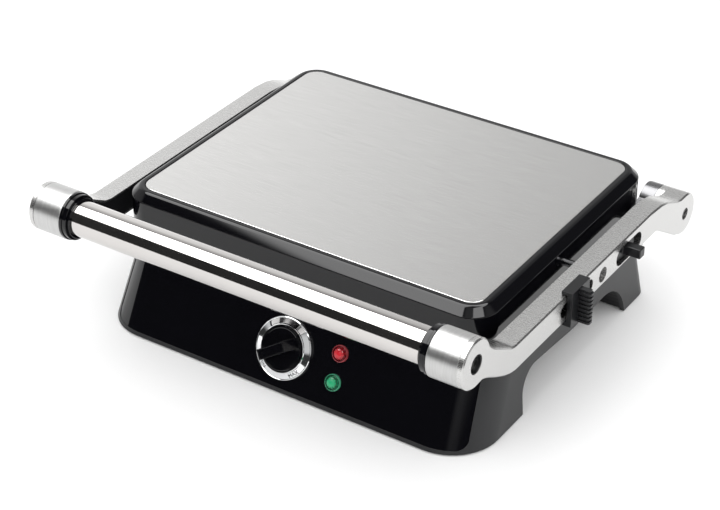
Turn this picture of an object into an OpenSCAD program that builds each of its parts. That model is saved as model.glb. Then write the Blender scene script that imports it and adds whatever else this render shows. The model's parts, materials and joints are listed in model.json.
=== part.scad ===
// Contact grill (panini press) with a floating lid carried between two cast arms.
// Millimetres. +Z is up, the control panel faces -Y, and the feet stand on z = 0.
// The origin is under the centre of the whole outline. The sub-parts are drawn
// about the press's own middle plane and lid centre, and place() sets them there.

/* [Base] */
// Width of the housing where it stands
base_w = 344.6; // [335:0.1:350]
// Height of the housing's top deck
base_h = 77; // [74:0.5:80]
// How far the front wall's foot stands ahead of the lid's centre
base_front = 157.8; // [150:0.1:165]
// How far the rear wall's foot stands behind the lid's centre
base_rear = 126.8; // [120:0.1:130]
// Lean of the front wall, as run over rise
front_lean = 0.5; // [0.4:0.01:0.55]
// Lean of the rear wall, as run over rise
rear_lean = 0.24; // [0.15:0.01:0.3]
// Lean of each side wall, as run over rise
side_lean = 0.07; // [0:0.01:0.1]
// Corner radius at the front
front_r = 40; // [30:1:45]
// Corner radius at the rear
rear_r = 15; // [10:1:20]
// Wall of the housing
wall = 4; // [3:0.5:5]
// Height of the arch between the front and rear legs
arch_h = 33.5; // [31:0.5:34]

/* [Controls] */
// Height of the dial's centre on the front wall
dial_z = 31.4; // [28:0.1:36]
// Outer radius of the dial ring
ring_r = 24.5; // [22:0.5:26]
// Radius of the knob
knob_r = 17.4; // [15:0.1:18]
// Distance of the lamps from the middle plane
lamp_x = 47.4; // [40:0.1:60]
// Height of the green lamp's centre
green_z = 21.3; // [18:0.1:25]
// Height of the red lamp's centre
red_z = 41.6; // [38:0.1:48]
// Radius of a lamp lens
lens_r = 6.7; // [5:0.1:8]

/* [Plates] */
// Width of the cooking plates
plate_w = 304; // [290:1:304]
// Depth of the cooking plates
plate_d = 212; // [200:1:212]
// Pitch of the ribs on the plates
rib_pitch = 9.5; // [8:0.5:12]

/* [Lid] */
// Width of the lid
lid_w = 326; // [320:1:327]
// Depth of the lid
lid_d = 259.5; // [250:0.5:262]
// Height of the lid's top face
lid_top = 112.5; // [110:0.5:115]
// Height of the lid's lower edge
lid_bottom = 81.5; // [80:0.5:83]
// Width and height of the chamfer round the lid's top
lid_chamfer = 6.5; // [4:0.5:8]
// Width of the steel panel
panel_w = 304.2; // [300:0.1:306]
// Depth of the steel panel
panel_d = 237.5; // [230:0.1:240]

/* [Handle and arms] */
// Width over the outer faces of the arms
overall_w = 380; // [376:1:384]
// Thickness of an arm
arm_t = 17; // [14:0.5:17]
// Radius of the handle tube
tube_r = 14; // [12:0.5:15]
// Radius of the handle's end caps
cap_r = 19; // [17:0.5:20]
// Radius of the hinge bosses at the rear
hinge_r = 17.5; // [15:0.5:18]
// Radius of the hinge pins and of the lid's pivot pins
pin_r = 5; // [4:0.1:5.2]
// Reach of the slider's grip beyond the arm
grip_reach = 14; // [10:1:16]

/* [Hidden] */
$fn = 64;
gap = 0.3;             // space between surfaces that slide past each other
running = 0.04;        // radial clearance of a pin in its bore
skin = 0.1;            // space between pieces that are fixed together

// Handle, rear hinge and lid pivot, each an axis along X at [y, z]
handle_axis = [-185.2, 116.5];
hinge_axis = [147, 66.6];
lid_axis = [2, 87];
arm_out = overall_w / 2;
arm_in = arm_out - arm_t;
liner_t = 3;           // black cover on each arm's inner face
boss_in = 167;         // inner end of the arm's rear boss
seam = arm_out - 4.5;  // where an end cap meets the arm

// Centre of the whole outline, seen from above
mid_x = grip_reach / 2;
mid_y = (hinge_axis[0] + hinge_r + handle_axis[0] - cap_r) / 2;

// Heights inside the base
hem = 1.2;             // lower edge of the housing
floor_z = 2.5;         // underside of the cover in the legs
floor_t = 2.5;
deck_t = 3;
plate_y = -4;          // centre of the cooking plates
plate_top = 76.5;
plate_gap = 3.3;
shield_bottom = 50;
tilt = 90 - atan(front_lean);

function front_y(z) = front_lean * z - base_front;
function rear_y(z) = base_rear - rear_lean * z;
function side_x(z) = base_w / 2 - side_lean * z;
function arc(cx, cy, r, a0, a1, n = 8) =
    [for (i = [0:n]) let (a = a0 + (a1 - a0) * i / n) [cx + r * cos(a), cy + r * sin(a)]];
function round_rect(w, d, r) = concat(
    arc(w / 2 - r, d / 2 - r, r, 0, 90), arc(r - w / 2, d / 2 - r, r, 90, 180),
    arc(r - w / 2, r - d / 2, r, 180, 270), arc(w / 2 - r, r - d / 2, r, 270, 360));
function reversed(list) = [for (i = [len(list) - 1:-1:0]) list[i]];

// Outline of the arch in the side walls, moved outwards by g
arch_front = -80;
arch_rear = 85;
arch_front_r = 20;
arch_rear_r = 35;
function arch(g) = concat(
    [[arch_front - g, -5]],
    arc(arch_front + arch_front_r, arch_h + 3 - arch_front_r, arch_front_r + g, 180, 90),
    [[0, arch_h - 1 + g]],
    arc(arch_rear - arch_rear_r, arch_h - arch_rear_r, arch_rear_r + g, 90, 0, 12),
    [[arch_rear + g, -5]]);

module place() {
    translate([-mid_x, -mid_y, 0]) children();
}

// A slab with rounded corners, standing on z
module slab(w, d, h, r, y = 0, z = 0) {
    translate([0, y, z]) linear_extrude(h) polygon(round_rect(w, d, r));
}

// A profile in the Y-Z plane, from x0 to x1
module side_profile(points, x0, x1) {
    translate([x0, 0, 0]) rotate([90, 0, 90]) linear_extrude(x1 - x0) polygon(points);
}

// A cylinder along X at [y, z]
module x_rod(at, r, x0, x1) {
    translate([x0, at[0], at[1]]) rotate([0, 90, 0]) cylinder(r = r, h = x1 - x0);
}

// Stands children on the front wall, with their Z along its outward normal
module on_front(x, z) {
    translate([x, front_y(z), z]) rotate([tilt, 0, 0]) children();
}

module both_sides() {
    children();
    mirror([1, 0, 0]) children();
}

// The housing's outer form drawn in by t, from z0 to z1
module base_form(t, z0, z1) {
    hull() for (z = [z0, z1]) for (s = [-1, 1]) {
        translate([s * (side_x(z) - front_r), front_y(z) + front_r, z])
            cylinder(r = front_r - t, h = 0.01, $fn = 48);
        translate([s * (side_x(z) - rear_r), rear_y(z) - rear_r, z])
            cylinder(r = rear_r - t, h = 0.01, $fn = 32);
    }
}

// Outline of the control panel seen from the front, grown by g
panel_low = 3.8;
panel_high = 70;
panel_r = 6;
module panel_outline(g) {
    half_low = side_x(0) - 11.5 + g;
    half_high = side_x(panel_high) - 11.5 + g;
    rotate([90, 0, 0]) linear_extrude(200) polygon(concat(
        arc(half_low - panel_r, panel_low + panel_r - g, panel_r, -90, 0),
        [[half_high, panel_high + g], [-half_high, panel_high + g]],
        arc(panel_r - half_low, panel_low + panel_r - g, panel_r, 180, 270)));
}

post_x = 159;
post_y = [-92, 95];
module at_posts() {
    for (s = [-1, 1]) for (y = post_y) translate([s * post_x, y, 0]) children();
}

// ---- Base ----
gland_x = 96;
gland_z = 22;
gland_face = base_rear - 0.4;

module base_housing() {
    place() color("#3e4143") difference() {
        union() {
            difference() {
                base_form(0, hem, base_h);
                base_form(wall, hem - 1, base_h - deck_t);
            }
            both_sides() for (y = post_y) {
                translate([post_x, y, floor_z + floor_t + skin]) cylinder(r = 4.5, h = 50);
                translate([post_x, y - 1.5, floor_z + floor_t + skin])
                    cube([side_x(55) - wall + 0.5 - post_x, 3, 50]);
            }
            translate([gland_x, gland_face, gland_z]) rotate([90, 0, 0]) cylinder(r = 12, h = 12);
        }
        slab(plate_w + 3, plate_d + 3, 20, 22, plate_y, base_h - 10);
        difference() {
            panel_outline(skin);
            base_form(2.6, hem - 1, base_h + 1);
        }
        side_profile(arch(0), -200, 200);
        translate([0, base_rear + 10, 0]) rotate([90, 0, 0]) linear_extrude(40)
            polygon([[-112, -5], [-104, 9], [40, 9], [48, -5]]);
        at_posts() cylinder(r = 1.95, h = 30);
        on_front(0, dial_z) cylinder(r = 5.1, h = 40, center = true);
        for (z = [red_z, green_z])
            on_front(lamp_x, z) cylinder(r = 6.1, h = 40, center = true);
        translate([gland_x, base_rear + 10, gland_z]) rotate([90, 0, 0]) cylinder(r = 7, h = 40);
    }
}

module bottom_cover() {
    place() color("#26282a") difference() {
        intersection() {
            union() {
                side_profile(concat(arch(2.8), reversed(arch(0.3))), -168, 168);
                translate([-168, -150, 0]) cube([336, 150 + arch_front - 1.3, 20]);
                translate([-168, arch_rear + 2, 0]) cube([336, 36, 20]);
            }
            base_form(wall + skin, floor_z, base_h - deck_t);
            union() {
                translate([-168, -150, floor_z]) cube([336, 280, floor_t]);
                side_profile(concat(arch(2.8), reversed(arch(0.3))), -168, 168);
            }
        }
        at_posts() cylinder(r = 2.1, h = 30, center = true);
        for (i = [-7:7]) translate([i * 14 - 2, -30, 30]) cube([4, 50, 20]);
    }
}

module fascia_panel() {
    place() color("#08090b") difference() {
        intersection() {
            panel_outline(0);
            base_form(0.5, hem, base_h);
        }
        base_form(2.5, hem - 1, base_h + 1);
        on_front(0, dial_z) cylinder(r = 5.1, h = 40, center = true);
        for (z = [red_z, green_z])
            on_front(lamp_x, z) cylinder(r = 6.1, h = 40, center = true);
    }
}

module dial_ring() {
    place() color("#d9dbdd") on_front(0, dial_z) rotate_extrude()
        polygon([[knob_r + 0.6, -0.4], [ring_r, -0.4], [ring_r, 1.4], [ring_r - 0.9, 2.9],
            [ring_r - 2.6, 3.8], [ring_r - 4.6, 4], [knob_r + 0.6, 3]]);
}

// A flanged lens with a domed front and a socket for its bulb
module lens() {
    rotate_extrude() polygon(concat(
        [[3.3, -8], [6, -8], [6, -0.4], [lens_r, -0.4], [lens_r, 1]],
        arc(0, -2.6, 6.9, 33, 90), [[0, -1.5], [2.4, -2], [3.3, -3.2]]));
}

module red_lamp_lens() {
    place() color("#c2141c") on_front(lamp_x, red_z) lens();
}

module green_lamp_lens() {
    place() color("#12a04a") on_front(lamp_x, green_z) lens();
}

module indicator_bulbs() {
    place() color("#e8d9b0") for (z = [red_z, green_z]) on_front(lamp_x, z) {
        translate([0, 0, -12]) cylinder(r = 2.6, h = 8.4);
        translate([0, 0, -4.4]) sphere(r = 2.2);
        for (s = [-1, 1]) translate([s * 1.2, 0, -17]) cylinder(r = 0.5, h = 6, $fn = 24);
    }
}

module thermostat() {
    place() color("#b9b4a6") on_front(0, dial_z) difference() {
        union() {
            translate([-14, -13, -24]) cube([28, 26, 14]);
            translate([0, 0, -10.5]) cylinder(r = 9, h = 3.5);
            translate([0, 0, -8]) cylinder(r = 5, h = 9.8);
            for (s = [-1, 1]) translate([s * 8 - 3, -2, -31]) cube([6, 0.8, 8]);
        }
        translate([0, 0, -20]) cylinder(r = 3 + running, h = 40);
    }
}

module thermostat_nut() {
    place() color("#a8abad") on_front(0, dial_z) difference() {
        translate([0, 0, -0.4]) cylinder(r = 8, h = 2.6, $fn = 6);
        cylinder(r = 5.02, h = 10, center = true);
    }
}

// Ribs that run front to back, as one comb standing on z = 0
module ribs(length, height) {
    count = floor((plate_w - 30) / rib_pitch / 2);
    rotate([90, 0, 0]) translate([0, 0, -length / 2]) linear_extrude(length)
        for (i = [-count:count]) translate([i * rib_pitch, 0])
            polygon([[-2.2, -0.5], [2.2, -0.5], [1.3, height], [-1.3, height]]);
}

module lower_plate() {
    place() color("#2b2c2e") difference() {
        union() {
            difference() {
                slab(plate_w, plate_d, 8.5, 20, plate_y, plate_top - 8.5);
                slab(plate_w - 9, plate_d - 9, 10, 16, plate_y, plate_top - 4);
            }
            translate([0, plate_y, plate_top - 4]) ribs(plate_d - 26, 3.6);
        }
        for (x = [-18, 18]) translate([x - 4, plate_y - plate_d / 2 - 1, plate_top - 3.5])
            cube([8, 6, 5]);
    }
}

module upper_plate() {
    low = plate_top + plate_gap;
    place() color("#2b2c2e") {
        difference() {
            slab(plate_w, plate_d, 8.5, 20, plate_y, low);
            slab(plate_w - 9, plate_d - 9, 10, 16, plate_y, low - 6);
        }
        translate([0, plate_y, low + 4]) mirror([0, 0, 1]) ribs(plate_d - 26, 3.6);
    }
}

// A tubular element: two straight legs joined by a half turn, with cold ends
module heating_element(z) {
    bend = 55;
    r = 3.2;
    translate([-50, plate_y, z]) rotate([0, 0, 90])
        rotate_extrude(angle = 180) translate([bend, 0]) circle(r = r, $fn = 32);
    for (s = [-1, 1]) {
        translate([-50, plate_y + s * bend, z]) rotate([0, 90, 0])
            cylinder(r = r, h = 165, $fn = 32);
        translate([115, plate_y + s * bend, z]) rotate([0, 90, 0])
            cylinder(r = 1.6, h = 14, $fn = 32);
    }
}

module lower_heating_element() {
    place() color("#7b7f83") heating_element(plate_top - 8.5 - 3.3);
}

module upper_heating_element() {
    place() color("#7b7f83") heating_element(plate_top + plate_gap + 8.5 + 3.3);
}

module lower_heat_shield() {
    place() color("#a9acae") difference() {
        union() {
            slab(plate_w + 2.6, plate_d + 2.6, base_h - deck_t - 0.2 - shield_bottom, 21,
                plate_y, shield_bottom);
            slab(plate_w + 9, plate_d + 5, 1, 24, plate_y, base_h - deck_t - 1.2);
        }
        slab(plate_w + 0.6, plate_d + 0.6, 40, 20.3, plate_y, shield_bottom + 1);
    }
}

module upper_heat_shield() {
    place() color("#a9acae") difference() {
        slab(plate_w - 4, plate_d - 4, 11, 18, plate_y, 92);
        slab(plate_w - 6, plate_d - 6, 20, 17, plate_y, 82);
    }
}

block_x = 70;
block_z = arch_h + 2.8;
module terminal_block() {
    place() color("#d8d5cc") translate([block_x, -12, block_z]) difference() {
        cube([44, 16, 10]);
        for (i = [0:3]) translate([6.5 + i * 10.5, -1, 5]) rotate([-90, 0, 0])
            cylinder(r = 2, h = 20, $fn = 24);
    }
}

// A wire that runs straight from point to point
module lead(points) {
    r = 1.5;
    for (p = points) translate(p) sphere(r = r, $fn = 24);
    for (i = [1:len(points) - 1]) let (v = points[i] - points[i - 1])
        translate(points[i - 1]) rotate([0, acos(v.z / norm(v)), atan2(v.y, v.x)])
            cylinder(r = r, h = norm(v), $fn = 24);
}

// Two from the cord inlet to the terminal block, and two on to the thermostat
module supply_leads() {
    z = block_z + 5;
    place() color("#7a3b2a") for (i = [0, 1]) {
        lead([[gland_x + 3.5 - 7 * i, 109, 25], [gland_x + 4 - 10 * i, 96, z],
            [gland_x + 4 - 10 * i, 6, z]]);
        lead([[block_x + 6 + 10 * i, -14, z], [block_x + 6 + 10 * i, -76 - 8 * i, z],
            [26 + 8 * i, -86 - 8 * i, 36], [16 * i - 8, -113.5, 15.3]]);
    }
}

module cord_gland() {
    place() color("#1c1d1f") translate([gland_x, gland_face, gland_z]) rotate([-90, 0, 0])
        rotate_extrude() polygon([[4, -14], [6.9, -14], [6.9, 0.1], [10, 0.1], [10, 2.2],
            [8.6, 3.4], [4, 3.4]]);
}

module hinge_bracket() {
    difference() {
        union() {
            side_profile([[95, 42], [95, 73], [rear_y(74) + 3, 73.5], [133.5, 77.5], [147, 66.6],
                [149, 49.6], [122, 42]], boss_in - 12.4, boss_in - gap);
            x_rod(hinge_axis, hinge_r, boss_in - 12.4, boss_in - gap);
        }
        base_form(-0.05, hem, base_h);
        x_rod(hinge_axis, pin_r, boss_in - 20, boss_in + 1);
    }
}

module right_hinge_bracket() {
    place() color("#c9cbcd") hinge_bracket();
}

module left_hinge_bracket() {
    place() color("#c9cbcd") mirror([1, 0, 0]) hinge_bracket();
}

module hinge_pins() {
    place() color("#b4b7ba") both_sides() x_rod(hinge_axis, pin_r, boss_in - 12.2, arm_out - 5);
}

module rubber_feet() {
    place() color("#161718") for (x = [-138, 138]) for (y = [-114, 107])
        translate([x, y, 0]) difference() {
            cylinder(r = 8, h = floor_z);
            translate([0, 0, -0.1]) cylinder(r = 3, h = 1.3);
        }
}

module base_screws() {
    place() color("#8d9194") at_posts() difference() {
        union() {
            translate([0, 0, floor_z - 1.9]) cylinder(r = 3.6, h = 1.9);
            translate([0, 0, floor_z - 0.5]) cylinder(r = 1.9, h = 20);
        }
        for (a = [0, 90]) rotate([0, 0, a]) translate([-2, -0.4, 0]) cube([4, 0.8, 1.4]);
    }
}

// ---- Knob ----
pointer_turn = 214;    // way the pointer faces, turned from the wall's +X
module knob() {
    place() color("#121315") on_front(0, dial_z) difference() {
        union() {
            difference() {
                translate([0, 0, 0.4]) cylinder(r = knob_r, h = 4.2);
                cylinder(r = knob_r - 2, h = 6, center = true);
            }
            translate([0, 0, 2.9]) cylinder(r = knob_r - 0.3, h = 2.6);
            intersection() {
                cylinder(r = knob_r, h = 20);
                rotate([0, 0, pointer_turn]) translate([-knob_r, -4.2, 3])
                    cube([2 * knob_r, 8.4, 10]);
            }
        }
        cylinder(r = 3.01, h = 10.5);
    }
}

module thermostat_shaft() {
    place() color("#c4c6c8") on_front(0, dial_z) translate([0, 0, -19]) cylinder(r = 3, h = 29);
}

// ---- Arms and handle ----
bar_low = 77.5;
bar_high = 99.5;
// The bar between the two bosses, from the front boss round to the rear one and back
arm_outline = [
    [-178, 112], [-172, 129.5], [-167, 121.5], [-161, 115.8], [-150, 109.2], [-136, 101.1],
    [-129, bar_high], [84, bar_high], [100, 98], [112, 94.8], [130, 86.4], [138, 84.3],
    [147, 84.1], [152, 66], [147, 49.1], [132, 53.8], [98, 75.6], [92, bar_low],
    [-129, bar_low], [-136, 78.8], [-144, 81.7], [-156, 87.8], [-168, 94.7], [-176, 98.1],
    [-185, 97.5]];

// Cover set into each arm's inner face, with its pocket g larger all round
function liner_outline(g) = [
    [-160 - g, 113.2 + g], [-150.7, 107.5 + g], [-136.5, 99.4 + g], [-129.3, 97.9 + g],
    [84.2, 97.9 + g], [99.6, 96.4 + g], [111.4, 93.3 + g], [124 + g, 87.6 + g],
    [124 + g, 61 - g], [98.9, 77.2 - g], [92.5, 79.1 - g], [-129.2, 79.1 - g],
    [-136.4, 80.4 - g], [-143.5, 83.1 - g], [-155.3, 89.2 - g], [-160 - g, 91.6 - g]];

slot_a = [-64, -14];   // pocket for the slider's stem, along Y
slot_c = [24, 66];     // pocket for the release lever
stem_y = -42;
lever_y = 44;

// A pocket with round ends, sunk into the outer face
module pocket(span, low, high, floor_x) {
    r = (high - low) / 2;
    side_profile(concat(arc(span[1] - r, low + r, r, -90, 90),
        arc(span[0] + r, low + r, r, 90, 270)), floor_x, arm_out + 1);
}

spigot_r = 12;         // boss on the arm that the end cap fits over
spigot_in = 177;
head_in = seam - 2.2;  // inner end of the handle screw's head
module arm_casting() {
    difference() {
        union() {
            difference() {
                union() {
                    difference() {
                        side_profile(arm_outline, arm_in, arm_out);
                        side_profile(liner_outline(0.05), arm_in - 1, arm_in + liner_t);
                    }
                    x_rod(handle_axis, cap_r, seam - 1, arm_out);
                    x_rod(hinge_axis, hinge_r, boss_in, arm_out);
                }
                x_rod(handle_axis, cap_r + skin, arm_in - 1, seam);
            }
            x_rod(handle_axis, spigot_r, spigot_in, seam + 1);
        }
        x_rod(handle_axis, 3.2, arm_in, arm_out + 1);
        x_rod(handle_axis, 7.5, head_in, arm_out + 1);
        x_rod(hinge_axis, pin_r + running, boss_in - 1, arm_out + 1);
        x_rod(lid_axis, pin_r + running, arm_in - 1, arm_out + 1);
        x_rod(lid_axis, 6.2, arm_out - 5, arm_out + 1);
    }
}

module right_arm() {
    place() color("#d3d4d3") difference() {
        arm_casting();
        pocket(slot_a, 82.5, 94, arm_out - 11);
        pocket(slot_c, 79.6, 94.6, arm_out - 11);
    }
}

module left_arm() {
    place() color("#d3d4d3") mirror([1, 0, 0]) arm_casting();
}

module arm_liner() {
    difference() {
        side_profile(liner_outline(0), arm_in + 0.3, arm_in + liner_t - 0.02);
        x_rod(handle_axis, cap_r + skin, arm_in - 1, arm_out);
        x_rod(hinge_axis, hinge_r + skin, arm_in - 1, arm_out);
        x_rod(lid_axis, pin_r + 0.5, arm_in - 1, arm_out);
    }
}

module right_arm_liner() {
    place() color("#17181a") arm_liner();
}

module left_arm_liner() {
    place() color("#17181a") mirror([1, 0, 0]) arm_liner();
}

cap_in = 160.5;
collar_in = 155;
module handle_tube() {
    place() color("#e2e2e0") difference() {
        x_rod(handle_axis, tube_r, -cap_in - 9, cap_in + 9);
        x_rod(handle_axis, tube_r - 1.5, -cap_in - 10, cap_in + 10);
    }
}

module end_cap() {
    difference() {
        x_rod(handle_axis, cap_r, cap_in, seam - skin);
        x_rod(handle_axis, tube_r + 0.02, cap_in - 1, cap_in + 9.2);
        x_rod(handle_axis, spigot_r + skin, spigot_in - skin, arm_out);
        x_rod(handle_axis, 2.95, cap_in, arm_out);
    }
}

module right_end_cap() {
    place() color("#bfc0c0") end_cap();
}

module left_end_cap() {
    place() color("#bfc0c0") mirror([1, 0, 0]) end_cap();
}

module collar() {
    difference() {
        union() {
            x_rod(handle_axis, cap_r - 3.2, collar_in - 2, cap_in - skin);
            x_rod(handle_axis, cap_r - 1.4, collar_in, cap_in - skin);
            x_rod(handle_axis, cap_r - 0.3, cap_in - 2, cap_in - skin);
        }
        x_rod(handle_axis, tube_r + 0.02, collar_in - 3, cap_in + 1);
    }
}

module right_collar() {
    place() color("#141517") collar();
}

module left_collar() {
    place() color("#141517") mirror([1, 0, 0]) collar();
}

module handle_screws() {
    place() color("#4a4d50") both_sides() difference() {
        union() {
            x_rod(handle_axis, 6.4, head_in, head_in + 2);
            x_rod(handle_axis, 2.9, cap_in + 8, head_in + 1);
        }
        translate([head_in + 2, handle_axis[0], handle_axis[1]]) for (a = [20, 110])
            rotate([a, 0, 0]) cube([2, 7, 1.4], center = true);
    }
}

// ---- Slider and lever on the right arm ----
slider_span = [-55.5, -28.5];
module height_slider() {
    out = arm_out + gap;
    low = bar_low - 4;
    high = bar_high + 3;
    length = slider_span[1] - slider_span[0];
    place() color("#17181a") {
        translate([0, slider_span[0], 0]) {
            translate([out, 0, low]) cube([4.2, length, high - low]);
            translate([arm_out - 4.5, 0, bar_high + gap]) cube([9, length, 3 - gap]);
            translate([arm_out - 4.5, 0, low]) cube([9, length, 4 - gap]);
        }
        translate([arm_out - 10, stem_y - 6, 82.5 + gap]) cube([12, 12, 11.5 - 2 * gap]);
        translate([out + 4, stem_y - 2.2, low - 1]) cube([grip_reach - 5.7, 4.4, 29]);
        for (i = [0:7]) translate([0, 0, low - 0.4 + i * 3.5]) linear_extrude(1.9)
            polygon(concat([[out + 4, stem_y - 3.2]],
                arc(out + grip_reach - 2.5, stem_y - 1, 2.2, -90, 0),
                arc(out + grip_reach - 2.5, stem_y + 1, 2.2, 0, 90),
                [[out + 4, stem_y + 3.2]]));
    }
}

module release_lever() {
    place() color("#17181a") {
        side_profile(concat(arc(lever_y + 9, 87.1, 7.1, -90, 90),
            arc(lever_y - 9, 87.1, 7.1, 90, 270)), arm_out - 10.6, arm_out - 3);
        translate([arm_out - 4, lever_y - 4, 83.8]) cube([15.8, 8, 8.1]);
    }
}

// ---- Lid ----
lid_wall = 3;
lid_r = 23;
module lid_bezel() {
    face = lid_top - lid_chamfer;
    inner = lid_w - 2 * lid_chamfer;
    place() color("#0b0c0e") difference() {
        union() {
            difference() {
                hull() {
                    slab(lid_w, lid_d, face - lid_bottom, lid_r, 0, lid_bottom);
                    slab(inner, lid_d - 2 * lid_chamfer, 0.01, lid_r - lid_chamfer, 0,
                        lid_top - 0.01);
                }
                slab(lid_w - 2 * lid_wall, lid_d - 2 * lid_wall, 30, lid_r - lid_wall, 0,
                    face - 2 - 30);
                slab(panel_w - 7, panel_d - 7, 40, 9, 0, 90);
            }
            both_sides() intersection() {
                x_rod(lid_axis, 8.5, plate_w / 2 + 4, lid_w / 2);
                translate([0, -50, lid_bottom]) cube([200, 100, 20]);
            }
        }
        slab(panel_w + 2 * skin, panel_d + 2 * skin, 10, 12, 0, lid_top - 1.3);
        x_rod(lid_axis, pin_r, -200, 200);
    }
}

module lid_panel() {
    place() color("#c6c7c7") slab(panel_w, panel_d, 1.3, 12, 0, lid_top - 1.3);
}

module lid_lower_frame() {
    edge = lid_wall + skin;
    place() color("#141517") difference() {
        slab(lid_w - 2 * edge, lid_d - 2 * edge, 3, lid_r - edge, 0, lid_bottom + 0.5);
        slab(plate_w + 0.4, plate_d + 0.4, 20, 20.2, plate_y, lid_bottom - 5);
        for (s = [-1, 1]) translate([s * (plate_w / 2 + 8.8), lid_axis[0], lid_bottom])
            cube([10, 18, 20], center = true);
        for (s = [-1, 1]) for (y = [-115, 115]) translate([s * 120, y, 70])
            cylinder(r = 1.9, h = 30, $fn = 32);
    }
}

module lid_pivot_pins() {
    place() color("#c4c6c8") both_sides() {
        x_rod(lid_axis, pin_r, plate_w / 2 + 4, lid_w / 2 - 0.2);
        x_rod(lid_axis, 3, lid_w / 2 - 1, arm_in + 1);
        x_rod(lid_axis, pin_r, arm_in + 0.2, arm_out - 6);
    }
}

module lid_screws() {
    place() color("#8d9194") for (s = [-1, 1]) for (y = [-115, 115])
        translate([s * 120, y, lid_bottom]) {
            translate([0, 0, -1.4]) cylinder(r = 3.4, h = 1.9, $fn = 32);
            cylinder(r = 1.85, h = 14, $fn = 32);
        }
}

base_housing();
bottom_cover();
fascia_panel();
dial_ring();
red_lamp_lens();
green_lamp_lens();
indicator_bulbs();
thermostat();
thermostat_nut();
lower_plate();
lower_heating_element();
lower_heat_shield();
terminal_block();
supply_leads();
cord_gland();
right_hinge_bracket();
left_hinge_bracket();
hinge_pins();
rubber_feet();
base_screws();
knob();
thermostat_shaft();
right_arm();
left_arm();
handle_tube();
right_end_cap();
left_end_cap();
right_collar();
left_collar();
right_arm_liner();
left_arm_liner();
handle_screws();
height_slider();
release_lever();
lid_bezel();
lid_panel();
lid_lower_frame();
upper_plate();
upper_heating_element();
upper_heat_shield();
lid_pivot_pins();
lid_screws();
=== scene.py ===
import json
import math

import bpy
from mathutils import Matrix, Vector


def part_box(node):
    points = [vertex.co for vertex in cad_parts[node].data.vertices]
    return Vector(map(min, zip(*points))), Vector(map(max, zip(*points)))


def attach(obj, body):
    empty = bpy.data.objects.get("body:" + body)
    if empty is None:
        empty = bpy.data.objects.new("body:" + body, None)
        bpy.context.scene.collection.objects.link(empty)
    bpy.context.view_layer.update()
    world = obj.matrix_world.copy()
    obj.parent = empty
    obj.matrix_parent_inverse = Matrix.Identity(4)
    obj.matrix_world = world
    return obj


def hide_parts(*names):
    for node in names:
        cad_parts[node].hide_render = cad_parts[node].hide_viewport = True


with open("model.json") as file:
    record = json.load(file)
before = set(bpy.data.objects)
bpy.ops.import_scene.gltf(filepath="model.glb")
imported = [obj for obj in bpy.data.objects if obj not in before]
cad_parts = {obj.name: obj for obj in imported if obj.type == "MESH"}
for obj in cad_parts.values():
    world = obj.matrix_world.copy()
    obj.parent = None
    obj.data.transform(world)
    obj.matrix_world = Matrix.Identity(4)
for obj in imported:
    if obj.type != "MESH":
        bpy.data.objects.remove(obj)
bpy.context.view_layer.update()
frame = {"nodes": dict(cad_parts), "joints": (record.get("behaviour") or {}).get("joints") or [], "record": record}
nodes = frame["nodes"]
dialJoint = next(joint for joint in frame["joints"] if joint["name"] == "dial_turn")
dialCentre = Vector(dialJoint["pos_m"])
wallNormal = -Vector(dialJoint["axis"])  # outward normal of the leaning control panel
wallRight = Vector((1, 0, 0))
wallUp = wallNormal.cross(wallRight)
lidLow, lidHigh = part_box("lid_bezel")
middleX = (lidLow.x + lidHigh.x) / 2  # the press's own middle plane
mergeGap = 1e-6  # points closer than this are one point
sameLevel = 1e-5  # heights and places closer than this count as equal
facing = 0.9  # a normal that is this far along Z counts as facing up or down
print("frame loaded:", len(nodes), "nodes")


def middleOf(node):
    low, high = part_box(node)
    return (low + high) / 2


def footOnWall(node):
    # the point of the control panel's face that the middle of the node stands over
    centre = middleOf(node)
    return centre + wallNormal * (dialCentre - centre).dot(wallNormal)


def useOnly(piece):
    if bpy.context.object and bpy.context.object.mode == "EDIT":
        bpy.ops.object.mode_set(mode="OBJECT")
    bpy.ops.object.select_all(action="DESELECT")
    piece.select_set(True)
    bpy.context.view_layer.objects.active = piece


def edit(piece):
    useOnly(piece)
    bpy.ops.object.mode_set(mode="EDIT")


def creases(mesh, angle=0.3):
    # edges where two faces meet at a clear angle, in radians
    sides = {}
    for face in mesh.polygons:
        for key in face.edge_keys:
            sides.setdefault(key, []).append(face.normal)
    return {key for key, pair in sides.items() if len(pair) == 2 and pair[0].angle(pair[1], 0) > angle}


def pick(piece, wanted, kind="FACE"):
    # selects faces by centre and normal, creased edges by their two ends, or points by place
    bpy.ops.mesh.select_mode(type=kind)
    bpy.ops.mesh.select_all(action="DESELECT")
    bpy.ops.object.mode_set(mode="OBJECT")
    mesh = piece.data
    points = mesh.vertices
    if kind == "FACE":
        for face in mesh.polygons:
            face.select = wanted(face.center, face.normal)
    elif kind == "EDGE":
        folded = creases(mesh)
        for edge in mesh.edges:
            first, second = edge.vertices
            edge.select = edge.key in folded and wanted(points[first].co, points[second].co)
    else:
        for point in points:
            point.select = wanted(point.co)
    bpy.ops.object.mode_set(mode="EDIT")


def upright(a, b):
    return abs(a.x - b.x) + abs(a.y - b.y) < sameLevel and abs(a.z - b.z) > 10 * sameLevel


def applyPlace(piece):
    useOnly(piece)
    bpy.ops.object.transform_apply(location=True, rotation=True, scale=True)


def addBlock(name, low, high):
    bpy.ops.object.select_all(action="DESELECT")
    low, high = Vector(low), Vector(high)
    bpy.ops.mesh.primitive_cube_add(size=1, location=(low + high) / 2)
    piece = bpy.context.object
    piece.name = name
    piece.scale = high - low
    applyPlace(piece)
    return piece


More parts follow.
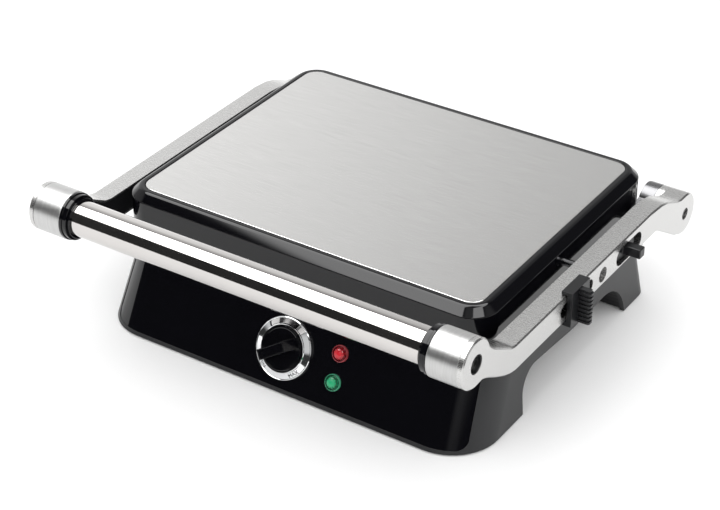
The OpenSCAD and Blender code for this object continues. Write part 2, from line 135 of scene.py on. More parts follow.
def addTurned(name, profile, steps=96):
    # a circle drawn up along a profile of (radius, height), as on a lathe
    startRadius, startHeight = profile[0]
    bpy.ops.object.select_all(action="DESELECT")
    bpy.ops.mesh.primitive_circle_add(vertices=steps, radius=startRadius, location=(0, 0, startHeight))
    piece = bpy.context.object
    piece.name = name
    applyPlace(piece)
    edit(piece)
    bpy.ops.mesh.select_mode(type="EDGE")
    bpy.ops.mesh.select_all(action="SELECT")
    for (radius, height), (nextRadius, nextHeight) in zip(profile, profile[1:]):
        rise = (0, 0, nextHeight - height)
        bpy.ops.mesh.extrude_region_move(TRANSFORM_OT_translate={"value": rise})
        if nextRadius == 0:
            bpy.ops.mesh.merge(type="CENTER")
            break
        share = nextRadius / radius
        bpy.ops.transform.resize(value=(share, share, 1), center_override=(0, 0, nextHeight))
    if profile[-1] != profile[0]:
        if profile[-1][0] > 0:
            bpy.ops.mesh.edge_face_add()
        pick(piece, lambda p: abs(p.z - startHeight) < mergeGap
             and abs(math.hypot(p.x, p.y) - startRadius) < mergeGap, "VERT")
        bpy.ops.mesh.edge_face_add()
    bpy.ops.mesh.select_all(action="SELECT")
    bpy.ops.mesh.remove_doubles(threshold=mergeGap)
    bpy.ops.mesh.normals_make_consistent(inside=False)
    bpy.ops.object.mode_set(mode="OBJECT")
    return piece


def stand(piece, origin, axis, up=(0, 0, 1)):
    # sets the piece's own Z along axis and its own Y towards up
    zWay = Vector(axis).normalized()
    xWay = Vector(up).cross(zWay).normalized()
    yWay = zWay.cross(xWay)
    turn = Matrix((xWay, yWay, zWay)).transposed().to_4x4()
    piece.matrix_world = Matrix.Translation(Vector(origin)) @ turn
    applyPlace(piece)
    return piece


def joinPieces(name, parts):
    useOnly(parts[0])
    for part in parts:
        part.select_set(True)
    bpy.ops.object.join()
    parts[0].name = name
    return parts[0]


def mirrored(piece, name):
    # the same piece, with its own mesh, on the other side of the press
    twin = piece.copy()
    twin.data = piece.data.copy()
    twin.name = name
    bpy.context.collection.objects.link(twin)
    twin.matrix_world = Matrix.Translation((2 * middleX, 0, 0)) @ Matrix.Scale(-1, 4, (1, 0, 0))
    applyPlace(twin)
    edit(twin)
    bpy.ops.mesh.select_all(action="SELECT")
    bpy.ops.mesh.normals_make_consistent(inside=False)
    bpy.ops.object.mode_set(mode="OBJECT")
    return twin


def softenEdges(piece, width, segments=3, angle=28):
    useOnly(piece)
    bevel = piece.modifiers.new("softEdges", "BEVEL")
    bevel.width = width
    bevel.segments = segments
    bevel.limit_method = "ANGLE"
    bevel.angle_limit = math.radians(angle)
    bevel.miter_outer = "MITER_ARC"
    bpy.ops.object.modifier_apply(modifier=bevel.name)


def reworked(node, name, flatWithin=0.6):
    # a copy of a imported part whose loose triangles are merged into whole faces
    piece = bpy.data.objects.new(name, nodes[node].data.copy())
    bpy.context.collection.objects.link(piece)
    edit(piece)
    bpy.ops.mesh.select_all(action="SELECT")
    bpy.ops.mesh.customdata_custom_splitnormals_clear()
    bpy.ops.mesh.remove_doubles(threshold=2 * mergeGap)
    bpy.ops.mesh.dissolve_limited(angle_limit=math.radians(flatWithin), use_dissolve_boundaries=False)
    bpy.ops.object.mode_set(mode="OBJECT")
    return piece


def settle(piece, body, slot, finish, *replaced, smoothAngle=32):
    # smooths the piece, gives it its finish and its body, and hides the CAD nodes that it stands for
    useOnly(piece)
    piece.data.materials.clear()
    piece.data.materials.append(finish)
    bpy.ops.object.shade_smooth_by_angle(angle=math.radians(smoothAngle))
    flat = piece.modifiers.new("flatFaces", "WEIGHTED_NORMAL")  # keeps wide faces flat beside soft edges
    flat.keep_sharp = True
    flat.weight = 80
    bpy.ops.object.modifier_apply(modifier=flat.name)
    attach(piece, body)
    if replaced:
        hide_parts(*replaced)
    return piece


def newFinish(name, **settings):
    finish = bpy.data.materials.new(name)
    finish.use_nodes = True
    shader = finish.node_tree.nodes["Principled BSDF"]
    for socket, value in settings.items():
        shader.inputs[socket.replace("_", " ")].default_value = value
    return finish, shader


def addNode(finish, kind, inputs=(), **values):
    # one shader node; inputs are (socket, output or value) pairs
    tree = finish.node_tree
    node = tree.nodes.new(kind)
    for key, value in values.items():
        setattr(node, key, value)
    for socket, source in inputs:
        if isinstance(source, bpy.types.NodeSocket):
            tree.links.new(source, node.inputs[socket])
        else:
            node.inputs[socket].default_value = source
    return node


def grainOf(finish, scale, stretch=(1, 1, 1), detail=3.0, roughness=0.6):
    # noise on the piece's own coordinates, long where stretch is small
    place = addNode(finish, "ShaderNodeTexCoord").outputs["Object"]
    mapping = addNode(finish, "ShaderNodeMapping", [("Vector", place), ("Scale", stretch)])
    noise = addNode(finish, "ShaderNodeTexNoise", [("Vector", mapping.outputs[0]), ("Scale", scale),
                                                  ("Detail", detail), ("Roughness", roughness)])
    return noise.outputs[0]


def spread(finish, source, low, high):
    # noise sits mostly between 0.3 and 0.7, so that span is stretched from low to high
    return addNode(finish, "ShaderNodeMapRange", [("Value", source), ("From Min", 0.3), ("From Max", 0.7),
                                                  ("To Min", low), ("To Max", high)]).outputs[0]


def bumpFrom(finish, shader, source, distance, strength=1.0):
    bump = addNode(finish, "ShaderNodeBump", [("Height", source), ("Distance", distance),
                                              ("Strength", strength)])
    finish.node_tree.links.new(bump.outputs[0], shader.inputs["Normal"])


def tintFrom(finish, shader, source, dark, light):
    mix = addNode(finish, "ShaderNodeMix", [("Factor", source), ("A", (*dark, 1)), ("B", (*light, 1))],
                  data_type="RGBA")
    finish.node_tree.links.new(mix.outputs["Result"], shader.inputs["Base Color"])


def linkRoughness(finish, shader, source):
    finish.node_tree.links.new(source, shader.inputs["Roughness"])


def shaded(colour, share):
    return [channel * share for channel in colour]


def mouldedFinish(name, colour, roughness, texture, bumpDepth, **settings):
    # injection moulded plastic: a fine spark-eroded texture and faint cloudiness
    look = {"cloudScale": 14, "smooth": 0.92, "rough": 1.1, "dark": 0.93, "light": 1.07, "bump": 0.6}
    finish, shader = newFinish(name, **settings)
    fine = grainOf(finish, texture, detail=2.0)
    cloudy = grainOf(finish, look["cloudScale"], detail=4.0)
    linkRoughness(finish, shader, spread(finish, cloudy, roughness * look["smooth"],
                                         roughness * look["rough"]))
    tintFrom(finish, shader, spread(finish, cloudy, 0, 1),
             shaded(colour, look["dark"]), shaded(colour, look["light"]))
    bumpFrom(finish, shader, fine, bumpDepth, look["bump"])
    return finish


def brushedFinish(name, dark, light, roughness, stretch, scale=900, bumpDepth=1e-5, broad=0.22,
                  uneven=0.15):
    # fine parallel scratches, long along the axis whose stretch is small; broad is the tint bands'
    # scale as a share of the scratches', and uneven is how far the roughness varies
    finish, shader = newFinish(name, Metallic=1.0)
    lines = grainOf(finish, scale, stretch, detail=3.0)
    bands = grainOf(finish, scale * broad, stretch, detail=2.0)
    linkRoughness(finish, shader, spread(finish, lines, roughness * (1 - uneven), roughness * (1 + uneven)))
    tintFrom(finish, shader, spread(finish, bands, 0, 1), dark, light)
    bumpFrom(finish, shader, lines, bumpDepth, 0.5)
    return finish


def polishedFinish(name, colour, roughness):
    # bright metal with the faint unevenness that handling leaves
    look = {"cloudScale": 22, "smooth": 0.5, "rough": 1.5, "dark": 0.97, "waves": 260, "waveDepth": 4e-6}
    finish, shader = newFinish(name, Metallic=1.0)
    cloudy = grainOf(finish, look["cloudScale"], detail=5.0)
    linkRoughness(finish, shader, spread(finish, cloudy, roughness * look["smooth"],
                                         roughness * look["rough"]))
    tintFrom(finish, shader, spread(finish, cloudy, 0, 1), shaded(colour, look["dark"]), colour)
    bumpFrom(finish, shader, grainOf(finish, look["waves"], detail=2.0), look["waveDepth"], 0.4)
    return finish


def lensFinish(name, node, glowCore, ring, rim):
    # clear coloured plastic whose colour carries painted light and shade: a faceted bright core that is a painted
    # glow of the bulb behind, a dark ring that is painted shade and a pale rolled rim that is a painted highlight
    look = {"veins": 900, "waver": 0.0012, "bandsFrom": 0.0040, "bandsTo": 0.0080, "glowEnd": 0.36,
            "shadeStart": 0.44, "shadeEnd": 0.62, "highlightStart": 0.76, "ripple": 1.2e-4}
    finish, shader = newFinish(name, Roughness=0.05, IOR=1.49, Transmission_Weight=0.35)
    place = addNode(finish, "ShaderNodeTexCoord").outputs["Object"]
    centred = addNode(finish, "ShaderNodeMapping", [("Vector", place), ("Location", -footOnWall(node))])
    away = addNode(finish, "ShaderNodeVectorMath", [(0, centred.outputs[0])], operation="LENGTH")
    veins = grainOf(finish, look["veins"], detail=2.0)
    wavy = addNode(finish, "ShaderNodeMath", [(0, veins), (1, look["waver"]), (2, away.outputs["Value"])],
                   operation="MULTIPLY_ADD")
    bands = addNode(finish, "ShaderNodeMapRange", [("Value", wavy.outputs[0]),
                                                   ("From Min", look["bandsFrom"]),
                                                   ("From Max", look["bandsTo"])])
    # painted glow in the core, painted shade in the ring and a painted highlight on the rim, set by distance from
    # the lens's middle
    colours = addNode(finish, "ShaderNodeValToRGB", [(0, bands.outputs[0])])
    stops = colours.color_ramp.elements
    stops[0].color = (*glowCore, 1)
    stops[1].color = (*rim, 1)
    stops[1].position = look["highlightStart"]
    for stop, colour in (("glowEnd", glowCore), ("shadeStart", ring), ("shadeEnd", ring)):
        stops.new(look[stop]).color = (*colour, 1)
    finish.node_tree.links.new(colours.outputs[0], shader.inputs["Base Color"])
    bumpFrom(finish, shader, veins, look["ripple"], 0.7)
    return finish


def paleFinish(name, colour, roughness):
    # the inner pieces' mottled glass, ceramic and sleeving
    look = {"cloudScale": 90, "smooth": 0.9, "rough": 1.1, "dark": 0.85, "pits": 500, "pitDepth": 2e-5}
    finish, shader = newFinish(name)
    cloudy = grainOf(finish, look["cloudScale"], detail=4.0)
    tintFrom(finish, shader, spread(finish, cloudy, 0, 1), shaded(colour, look["dark"]), colour)
    linkRoughness(finish, shader, spread(finish, cloudy, roughness * look["smooth"],
                                         roughness * look["rough"]))
    bumpFrom(finish, shader, grainOf(finish, look["pits"]), look["pitDepth"], 0.5)
    return finish


# one finish for each material slot of the record
finishes = {
    "dark_plastic": mouldedFinish("satinHousing", (0.021, 0.0215, 0.0225), 0.38, 2600, 1.2e-5, IOR=1.42),
    "gloss_black": mouldedFinish("glossBlack", (0.002, 0.002, 0.003), 0.05, 500, 1e-6, IOR=1.42),
    "black_plastic": mouldedFinish("satinBlack", (0.006, 0.0062, 0.0072), 0.34, 2200, 1e-5, IOR=1.4),
    "chrome": polishedFinish("ringChrome", (0.86, 0.87, 0.88), 0.05),
    # each lens: a painted glow in its core, painted shade in its ring and a painted highlight on its rim
    "red_lens": lensFinish("redLens", "red_lamp_lens", (0.75, 0.03, 0.045), (0.12, 0.004, 0.008),
                           (0.42, 0.06, 0.07)),
    "green_lens": lensFinish("greenLens", "green_lamp_lens", (0.03, 0.50, 0.22), (0.004, 0.09, 0.04),
                             (0.08, 0.42, 0.24)),
    "bulb": paleFinish("neonBulb", (0.9, 0.78, 0.6), 0.2),
    "control_metal": paleFinish("thermostatBody", (0.5, 0.48, 0.43), 0.4),
    "plate_coating": mouldedFinish("nonStickCoating", (0.012, 0.012, 0.013), 0.4, 900, 4e-5),
    "element": brushedFinish("heatedSteel", (0.10, 0.09, 0.085), (0.2, 0.19, 0.19), 0.4, (1, 1, 1), 300),
    "sheet_metal": brushedFinish("bareSheet", (0.5, 0.51, 0.52), (0.62, 0.63, 0.64), 0.35, (0.04, 1, 1)),
    "ceramic": paleFinish("ceramicBlock", (0.78, 0.75, 0.68), 0.5),
    "lead_sleeve": paleFinish("siliconeSleeve", (0.26, 0.06, 0.03), 0.5),
    "cast_alloy": brushedFinish("satinCasting", (0.56, 0.557, 0.55), (0.595, 0.592, 0.585), 0.27,
                                (0.08, 1, 1), 2200, 3e-7, 0.5, 0.06),
    "polished_alloy": polishedFinish("polishedKnuckle", (0.20, 0.20, 0.205), 0.24),
    "brushed_cap": brushedFinish("brushedCap", (0.49, 0.49, 0.485), (0.56, 0.56, 0.555), 0.34,
                                 (1, 0.05, 0.05), 1900, 6e-6, 0.5),
    "polished_tube": polishedFinish("polishedTube", (0.60, 0.582, 0.568), 0.06),
    "brushed_panel": brushedFinish("brushedPanel", (0.68, 0.675, 0.665), (0.735, 0.73, 0.72), 0.2,
                                   (0.03, 1, 1), 2600, 5e-6, 0.4),
    "steel_pin": polishedFinish("groundSteel", (0.4, 0.4, 0.41), 0.16),
    "screw_steel": polishedFinish("zincScrew", (0.12, 0.12, 0.125), 0.24),
    "rubber": mouldedFinish("mouldedRubber", (0.013, 0.013, 0.013), 0.65, 1400, 3e-5),
}
print("finishes made:", len(finishes))


def makeLidBezel():
    shape = {"cornerRadius": 0.023, "cornerSteps": 16, "chamfer": 0.0065, "brow": 0.0016, "rim": 0.0041,
             "groove": 0.0015, "ledge": 0.004, "wall": 0.0018, "softness": 0.0007, "softAngle": 25}
    low, high = lidLow, lidHigh
    piece = addBlock("lidBezel", low, (high.x, high.y, high.z - shape["chamfer"]))
    edit(piece)
    pick(piece, upright, "EDGE")
    bpy.ops.mesh.bevel(offset=shape["cornerRadius"], segments=shape["cornerSteps"], affect="EDGES")
    pick(piece, lambda centre, normal: normal.z > facing)
    bpy.ops.mesh.inset(thickness=shape["chamfer"], depth=shape["chamfer"])
    bpy.ops.mesh.region_to_loop()
    bpy.ops.mesh.bevel(offset=shape["brow"], segments=5, affect="EDGES")
    pick(piece, lambda centre, normal: normal.z > 0.9999)  # only the level middle, not the rounded brow
    bpy.ops.mesh.inset(thickness=shape["rim"] - shape["brow"], depth=0)
    bpy.ops.mesh.extrude_region_move(TRANSFORM_OT_translate={"value": (0, 0, -shape["groove"])})
    bpy.ops.mesh.inset(thickness=shape["ledge"], depth=0)
    bpy.ops.mesh.delete(type="FACE")  # opening under the steel panel
    pick(piece, lambda centre, normal: normal.z < -facing)
    bpy.ops.mesh.delete(type="FACE")  # open underside
    bpy.ops.object.mode_set(mode="OBJECT")
    shell = piece.modifiers.new("shell", "SOLIDIFY")
    shell.thickness = shape["wall"]
    shell.offset = -1
    bpy.ops.object.modifier_apply(modifier=shell.name)
    softenEdges(piece, shape["softness"], 3, shape["softAngle"])
    return settle(piece, "lid", "gloss_black", finishes["gloss_black"], "lid_bezel")


def makeLidPanel():
    shape = {"cornerRadius": 0.0117, "cornerSteps": 14, "rolledEdge": 0.0005, "gap": 0.0002}
    low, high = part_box("lid_panel")
    inset = Vector((shape["gap"], shape["gap"], 0))
    piece = addBlock("lidPanel", low + inset, high - inset)
    edit(piece)
    pick(piece, upright, "EDGE")
    bpy.ops.mesh.bevel(offset=shape["cornerRadius"], segments=shape["cornerSteps"], affect="EDGES")
    pick(piece, lambda a, b: min(a.z, b.z) > high.z - sameLevel, "EDGE")
    bpy.ops.mesh.bevel(offset=shape["rolledEdge"], segments=4, affect="EDGES")
    bpy.ops.object.mode_set(mode="OBJECT")
    return settle(piece, "lid", "brushed_panel", finishes["brushed_panel"], "lid_panel")


def makeHandle():
    shape = {"tubeWall": 0.0015, "tubeEdge": 0.0003, "capEdge": 0.0011, "boreDepth": 0.009,
             "boreGap": 0.0001, "seamStart": 0.0005, "seamDrop": 0.0004, "steps": 128}
    low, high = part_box("handle_tube")
    centre = (low + high) / 2
    radius = (high.z - low.z) / 2
    half = (high.x - low.x) / 2
    alongX = (1, 0, 0)
    inner = radius - shape["tubeWall"]
    lip = shape["tubeEdge"]
    tube = addTurned("handleTube", [(inner, -half), (radius - lip, -half), (radius, lip - half),
                                    (radius, half - lip), (radius - lip, half), (inner, half),
                                    (inner, -half)], shape["steps"])
    stand(tube, centre, alongX)
    settle(tube, "handle_frame", "polished_tube", finishes["polished_tube"], "handle_tube")

    low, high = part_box("right_end_cap")
    outer = (high.z - low.z) / 2
    length = high.x - low.x
    edge = shape["capEdge"]
    rounding = [(outer - edge + edge * math.sin(turn), edge - edge * math.cos(turn))
                for turn in [math.radians(15 * step) for step in range(7)]]
    bore = radius + shape["boreGap"]
    cap = addTurned("rightEndCap", [(bore, shape["boreDepth"]), (bore, 0)] + rounding
                    + [(outer, length - shape["seamStart"]), (outer - shape["seamDrop"], length)],
                    shape["steps"])
    stand(cap, (low.x, centre.y, centre.z), alongX)
    leftCap = mirrored(cap, "leftEndCap")
    settle(cap, "handle_frame", "brushed_cap", finishes["brushed_cap"], "right_end_cap")
    settle(leftCap, "handle_frame", "brushed_cap", finishes["brushed_cap"], "left_end_cap")
    makeCollars(radius, outer, centre)


def makeCollars(bore, outer, centre):
    # black ring between the tube and each end cap, with a lower flange on the tube's side
    shape = {"flangeDrop": 0.0030, "flangeWidth": 0.0018, "drumDrop": 0.0012, "lipDrop": 0.0003,
             "lipWidth": 0.0020, "edge": 0.0004, "boreGap": 0.00005, "steps": 128}
    low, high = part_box("right_collar")
    width = high.x - low.x
    flange = outer - shape["flangeDrop"]
    drum = outer - shape["drumDrop"]
    lip = outer - shape["lipDrop"]
    edge = shape["edge"]
    shoulder = width - shape["lipWidth"]
    bore = bore + shape["boreGap"]
    collar = addTurned("rightCollar", [(bore, 0), (flange - edge, 0), (flange, edge),
                                       (flange, shape["flangeWidth"]), (drum - edge, shape["flangeWidth"]),
                                       (drum, shape["flangeWidth"] + edge), (drum, shoulder),
                                       (lip - edge, shoulder), (lip, shoulder + edge), (lip, width),
                                       (bore, width), (bore, 0)], shape["steps"])
    stand(collar, (low.x, centre.y, centre.z), (1, 0, 0))
    leftCollar = mirrored(collar, "leftCollar")
    settle(collar, "handle_frame", "gloss_black", finishes["gloss_black"], "right_collar")
    settle(leftCollar, "handle_frame", "gloss_black", finishes["gloss_black"], "left_collar")


def clearOfBores(point, keepOff, pocketSpan):
    # false round the arm's three bores and along its pockets
    for node in ("handle_tube", "hinge_pins", "lid_pivot_pins"):
        axis = middleOf(node)
        if math.hypot(point.y - axis.y, point.z - axis.z) < keepOff:
            return False
    front, rear, low, high = pocketSpan
    return not (front < point.y < rear and low < point.z < high)


def makeArms():
    # line is the narrow chamfer round the outer face; pocketSpan is Y from and to, then Z from and to
    shape = {"line": 0.0011, "mergeWithin": 0.0006, "linerEdge": 0.0004, "smoothAngle": 25,
             "keepOffBores": 0.009, "pocketSpan": (-0.05, 0.09, 0.0786, 0.0985)}

    def onOutline(point, outerX):
        return (abs(point.x - outerX) < sameLevel
                and clearOfBores(point, shape["keepOffBores"], shape["pocketSpan"]))

    for side in ("right", "left"):
        low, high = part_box(side + "_arm")
        outerX = high.x if side == "right" else low.x
        piece = reworked(side + "_arm", side + "Arm")
        edit(piece)
        pick(piece, lambda p: onOutline(p, outerX), "VERT")
        bpy.ops.mesh.remove_doubles(threshold=shape["mergeWithin"])
        pick(piece, lambda a, b: onOutline(a, outerX) and onOutline(b, outerX), "EDGE")
        bpy.ops.mesh.bevel(offset=shape["line"], segments=1, affect="EDGES", clamp_overlap=False)
        bpy.ops.object.mode_set(mode="OBJECT")
        settle(piece, "handle_frame", "cast_alloy", finishes["cast_alloy"], side + "_arm",
               smoothAngle=shape["smoothAngle"])
        liner = reworked(side + "_arm_liner", side + "ArmLiner")
        softenEdges(liner, shape["linerEdge"], 2)
        settle(liner, "handle_frame", "black_plastic", finishes["black_plastic"], side + "_arm_liner")


def makeRecessShadeSleeves():
    # a black sleeve in the screw recess of each arm's front boss: a dark piece put there as painted shade for the
    # deep recess
    shape = {"bore": 0.0069, "outer": 0.00745, "depth": 0.0066, "setBack": 0.0007, "edge": 0.0002,
             "steps": 64}
    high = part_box("right_arm")[1]
    centre = middleOf("handle_tube")
    bore, outer, depth, edge = shape["bore"], shape["outer"], shape["depth"], shape["edge"]
    front = depth - shape["setBack"]
    right = addTurned("rightRecessShadeSleeve", [(bore, 0), (outer, 0), (outer, front - edge), (outer - edge, front),
                                       (bore + edge, front), (bore, front - edge), (bore, 0)],
                      shape["steps"])
    stand(right, (high.x - depth, centre.y, centre.z), (1, 0, 0))
    left = mirrored(right, "leftRecessShadeSleeve")
    settle(right, "handle_frame", "black_plastic", finishes["black_plastic"])
    settle(left, "handle_frame", "black_plastic", finishes["black_plastic"])


def makeBase():
    shape = {"housingEdge": 0.0009, "panelEdge": 0.0004, "bracketEdge": 0.0006, "softAngle": 35}
    housing = reworked("base_housing", "baseHousing")
    softenEdges(housing, shape["housingEdge"], 3, shape["softAngle"])
    settle(housing, "base", "dark_plastic", finishes["dark_plastic"], "base_housing")
    fascia = reworked("fascia_panel", "fasciaPanel")
    softenEdges(fascia, shape["panelEdge"], 2, shape["softAngle"])
    settle(fascia, "base", "gloss_black", finishes["gloss_black"], "fascia_panel")
    for side in ("right", "left"):
        bracket = reworked(side + "_hinge_bracket", side + "HingeBracket")
        softenEdges(bracket, shape["bracketEdge"], 2)
        settle(bracket, "base", "polished_alloy", finishes["polished_alloy"], side + "_hinge_bracket")


def makeDialRing():
    # (radius, height): a raised bead, the sloping band that carries the words, and a rolled lip
    shape = {"bead": [(0.0180, -0.0004), (0.0180, 0.0036), (0.0182, 0.0040), (0.0186, 0.0041),
                      (0.0191, 0.0039)],
             "band": [(0.0194, 0.0034), (0.0232, 0.0018)],
             "lip": [(0.0235, 0.0018), (0.0239, 0.0020), (0.0243, 0.0017), (0.0245, 0.0011),
                     (0.0245, -0.0004)],
             "steps": 160}
    profile = shape["bead"] + shape["band"] + shape["lip"] + shape["bead"][:1]
    ring = addTurned("dialRing", profile, shape["steps"])
    stand(ring, dialCentre, wallNormal, wallUp)
    settle(ring, "base", "chrome", finishes["chrome"], "dial_ring")


def makeLettering():
    # the two words lie on the ring's sloping band, in degrees from the wall's right, turning left
    shape = {"size": 0.0043, "radius": 0.0214, "level": 0.0026, "slope": 23, "thickness": 0.00005,
             "words": {"MIN": 229, "MAX": 312}}
    slope = math.radians(shape["slope"])
    for word, degrees in shape["words"].items():
        turn = math.radians(degrees)
        outward = wallRight * math.cos(turn) + wallUp * math.sin(turn)
        bpy.ops.object.select_all(action="DESELECT")
        bpy.ops.object.text_add(location=(0, 0, 0))
        letters = bpy.context.object
        letters.name = word.lower() + "Letters"
        letters.data.body = word
        letters.data.size = shape["size"]
        letters.data.align_x = "CENTER"
        letters.data.align_y = "CENTER"
        letters.data.extrude = shape["thickness"]
        letters.data.resolution_u = 3
        bpy.ops.object.convert(target="MESH")
        edit(letters)
        bpy.ops.mesh.select_all(action="SELECT")
        bpy.ops.mesh.remove_doubles(threshold=mergeGap)
        bpy.ops.mesh.normals_make_consistent(inside=False)
        bpy.ops.object.mode_set(mode="OBJECT")
        origin = dialCentre + outward * shape["radius"] + wallNormal * shape["level"]
        stand(letters, origin, wallNormal * math.cos(slope) + outward * math.sin(slope), -outward)
        settle(letters, "base", "gloss_black", finishes["gloss_black"])


def makeKnob():
    # a dished disc with a grip bar across it: the bar is flat as far as flatEnd, then drops away;
    # pointer is how many degrees its tip points below the wall's left
    shape = {"disc": [(0.0174, 0.0006), (0.0174, 0.0050), (0.0171, 0.0055), (0.0165, 0.0056),
                      (0.0161, 0.0053), (0.0159, 0.0048), (0.0150, 0.0045), (0.0060, 0.0044)],
             "steps": 128, "pointer": 34, "barHalfWidth": 0.0042, "barTip": -0.0165, "flatEnd": 0.0072,
             "barEnd": 0.0162, "barFoot": 0.0035, "barTop": 0.0130, "barDrop": 0.0074,
             "rimInset": 0.0008, "sink": 0.0004, "softness": 0.0005, "markRadius": 0.0017,
             "markRim": 0.0005, "markSink": 0.0005, "markSlope": 0.0001, "markAt": -0.0137,
             "markSteps": 32}
    disc = addTurned("knobDisc", shape["disc"], shape["steps"])
    half = shape["barHalfWidth"]
    top = shape["barTop"]
    bar = addBlock("knobBar", (shape["barTip"], -half, shape["barFoot"]), (shape["barEnd"], half, top))
    edit(bar)
    bpy.ops.mesh.select_all(action="SELECT")
    bpy.ops.mesh.bisect(plane_co=(shape["flatEnd"], 0, 0), plane_no=(1, 0, 0))
    pick(bar, lambda p: p.x > shape["barEnd"] - sameLevel and p.z > top - sameLevel, "VERT")
    bpy.ops.transform.translate(value=(0, 0, -shape["barDrop"]))
    pick(bar, lambda centre, normal: normal.z > facing and centre.x < 0)
    bpy.ops.mesh.inset(thickness=shape["rimInset"], depth=0)
    bpy.ops.mesh.extrude_region_move(TRANSFORM_OT_translate={"value": (0, 0, -shape["sink"])})
    bpy.ops.object.mode_set(mode="OBJECT")
    softenEdges(bar, shape["softness"], 3)
    outer = shape["markRadius"]
    inner = outer - shape["markRim"]
    floor = top - shape["markSink"]
    slope = shape["markSlope"]
    mark = addTurned("knobMark", [(outer, floor - slope), (outer, top), (inner, top),
                                  (inner - slope, floor)], shape["markSteps"])
    mark.location.x = shape["markAt"]
    applyPlace(mark)
    knob = joinPieces("knob", [disc, bar, mark])
    turn = math.radians(shape["pointer"])
    stand(knob, dialCentre, wallNormal, wallUp * math.cos(turn) - wallRight * math.sin(turn))
    settle(knob, "knob", "gloss_black", finishes["gloss_black"], "knob")


def makeLamps():
    # (radius, height): a socket in the wall, a rolled rim, a groove and a domed middle
    shape = {"socket": [(0.0033, -0.0080), (0.0060, -0.0080), (0.0060, -0.0004)],
             "rim": [(0.0067, -0.0004), (0.0067, 0.0010), (0.0064, 0.0015), (0.0060, 0.0016)],
             "groove": [(0.0056, 0.0013), (0.0053, 0.0008), (0.0050, 0.0009)],
             "dome": [(0.0046, 0.0024), (0.0034, 0.0036), (0.0018, 0.0042), (0, 0.0043)],
             "steps": 48}
    profile = shape["socket"] + shape["rim"] + shape["groove"] + shape["dome"]
    for colour in ("red", "green"):
        lens = addTurned(colour + "Lens", profile, shape["steps"])
        stand(lens, footOnWall(colour + "_lamp_lens"), wallNormal, wallUp)
        settle(lens, "base", colour + "_lens", finishes[colour + "_lens"], colour + "_lamp_lens")


def makeSlider():
    shape = {"sliderEdge": 0.0006, "leverEdge": 0.0009}
    slider = reworked("height_slider", "heightSlider")
    softenEdges(slider, shape["sliderEdge"], 3)
    settle(slider, "height_slider", "black_plastic", finishes["black_plastic"], "height_slider")
    lever = reworked("release_lever", "releaseLever")
    softenEdges(lever, shape["leverEdge"], 3)
    settle(lever, "release_lever", "black_plastic", finishes["black_plastic"], "release_lever")


makeLidBezel()
makeLidPanel()
print("lid modelled")
makeHandle()
makeArms()
# black sleeves that are painted shade inside the arms' screw recesses
makeRecessShadeSleeves()
print("handle and arms modelled")
makeBase()
makeDialRing()
makeLettering()
makeKnob()
makeLamps()
makeSlider()
print("base and controls modelled")

for part in frame["record"]["subparts"]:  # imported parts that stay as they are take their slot's finish
    node = nodes[part["node"]]
    node.data.materials.clear()
    node.data.materials.append(finishes[part["material_slot"]])


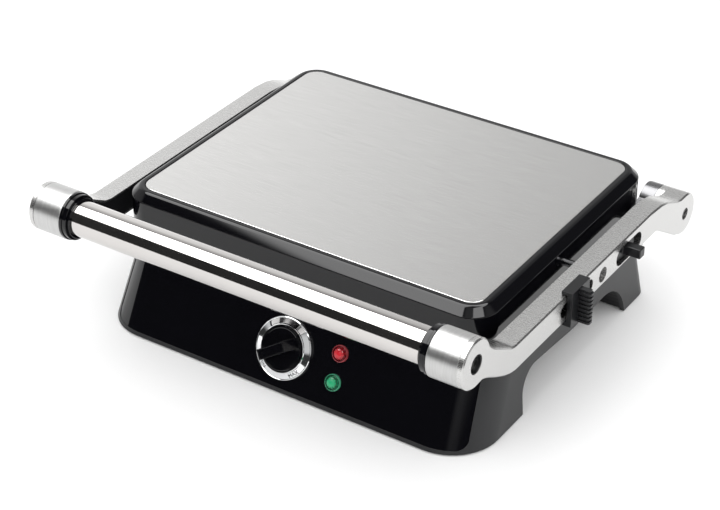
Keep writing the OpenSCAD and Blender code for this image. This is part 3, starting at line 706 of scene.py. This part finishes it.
def makeWorld():
    # glossy surfaces see the strips of light below; everything else gets one even light
    studio = {"even": 1.45, "overhead": 5.5, "backLeft": 1.15, "backMiddle": 0.6, "backRight": 0.08,
              "horizon": 1.05, "high": 0.33, "front": 0.03, "sides": 0.6}
    # from and to, along X, Y or Z of the direction that a reflection looks in
    spans = {"overheadEdge": (0.732, 0.752), "gapLeft": (-0.12, -0.04), "gapRight": (0.34, 0.40),
             "gapBack": (0.1, 0.3), "backLeft": (-0.58, -0.38), "backRight": (0.2, 0.36),
             "backLow": (0.0, 0.5), "backHigh": (0.5, 0.78), "backStart": (-0.1, 0.25),
             "frontEnd": (-0.3, -0.05), "frontRight": (0.25, 0.5), "right": (0.62, 0.75),
             "left": (-0.75, -0.6), "sidesLow": (0.12, 0.3), "middleLeft": (-0.12, 0.1),
             "middleLow": (0.26, 0.36)}
    overheadTilt = 0.114  # how far the overhead light's edge rises towards the back
    world = bpy.data.worlds.new("studio")
    bpy.context.scene.world = world
    world.use_nodes = True
    world.node_tree.nodes.clear()

    def add(kind, inputs=(), **values):
        return addNode(world, kind, inputs, **values)

    def ramp(source, span, toLow=0.0, toHigh=1.0, kind="SMOOTHSTEP"):
        low, high = spans[span]
        return add("ShaderNodeMapRange", [("Value", source), ("From Min", low), ("From Max", high),
                                          ("To Min", toLow), ("To Max", toHigh)],
                   interpolation_type=kind).outputs[0]

    def maths(operation, a, b):
        return add("ShaderNodeMath", [(0, a), (1, b)], operation=operation).outputs[0]

    def product(*sources):
        result = sources[0]
        for source in sources[1:]:
            result = maths("MULTIPLY", result, source)
        return result

    way = add("ShaderNodeSeparateXYZ", [(0, add("ShaderNodeTexCoord").outputs["Generated"])])
    x, y, z = way.outputs
    lifted = maths("SUBTRACT", z, maths("MULTIPLY", y, overheadTilt))
    gap = product(ramp(x, "gapLeft"), ramp(x, "gapRight", 1, 0), ramp(y, "gapBack", 1, 0))
    overhead = product(ramp(lifted, "overheadEdge"), maths("SUBTRACT", 1.0, gap))
    back = product(ramp(x, "backLeft", studio["backLeft"], studio["backMiddle"], "LINEAR"),
                   ramp(x, "backRight", 1, studio["backRight"]),
                   ramp(z, "backLow", studio["horizon"], 1, "LINEAR"),
                   ramp(z, "backHigh", 1, studio["high"], "LINEAR"),
                   ramp(y, "backStart"))
    level = maths("ADD", maths("MULTIPLY", overhead, studio["overhead"]), back)
    level = maths("ADD", level, studio["front"])
    toFront = ramp(y, "frontEnd", 1, 0)
    sides = maths("MAXIMUM", product(ramp(x, "frontRight"), toFront), ramp(x, "right"))
    sides = product(maths("MAXIMUM", sides, ramp(x, "left", 1, 0)), ramp(z, "sidesLow"))
    middle = product(ramp(x, "middleLeft"), toFront, ramp(z, "middleLow"))
    level = maths("MAXIMUM", level, product(maths("MAXIMUM", sides, middle), studio["sides"]))
    rays = add("ShaderNodeLightPath").outputs
    strength = add("ShaderNodeMix", [("Factor", rays["Is Glossy Ray"]), ("A", studio["even"]), ("B", level)])
    shader = add("ShaderNodeBackground", [("Color", (1, 1, 1, 1)),
                                          ("Strength", strength.outputs["Result"])])
    add("ShaderNodeOutputWorld", [("Surface", shader.outputs[0])])


def makeFloor():
    ground = {"size": 8, "colour": (0.92, 0.92, 0.92, 1)}
    bpy.ops.object.select_all(action="DESELECT")
    bpy.ops.mesh.primitive_plane_add(size=ground["size"], location=(0, 0, 0))
    floor = bpy.context.object
    floor.name = "floor"
    finish = newFinish("paleFloor", Base_Color=ground["colour"], Roughness=1.0, Specular_IOR_Level=0.0)[0]
    floor.data.materials.append(finish)


def makeCamera():
    shot = {"lens": 99.57, "sensor": 36, "place": (0.7161, -1.1181, 0.8952),
            "target": (0.0107, -0.0456, 0.080)}
    camera = bpy.data.objects.new("camera", bpy.data.cameras.new("camera"))
    bpy.context.collection.objects.link(camera)
    camera.data.lens = shot["lens"]
    camera.data.sensor_width = shot["sensor"]
    camera.location = shot["place"]
    look = Vector(shot["target"]) - Vector(shot["place"])
    camera.rotation_euler = look.to_track_quat("-Z", "Y").to_euler()
    bpy.context.scene.camera = camera


makeWorld()
makeFloor()
makeCamera()
bpy.context.scene.view_settings.view_transform = "Standard"
print("studio ready")
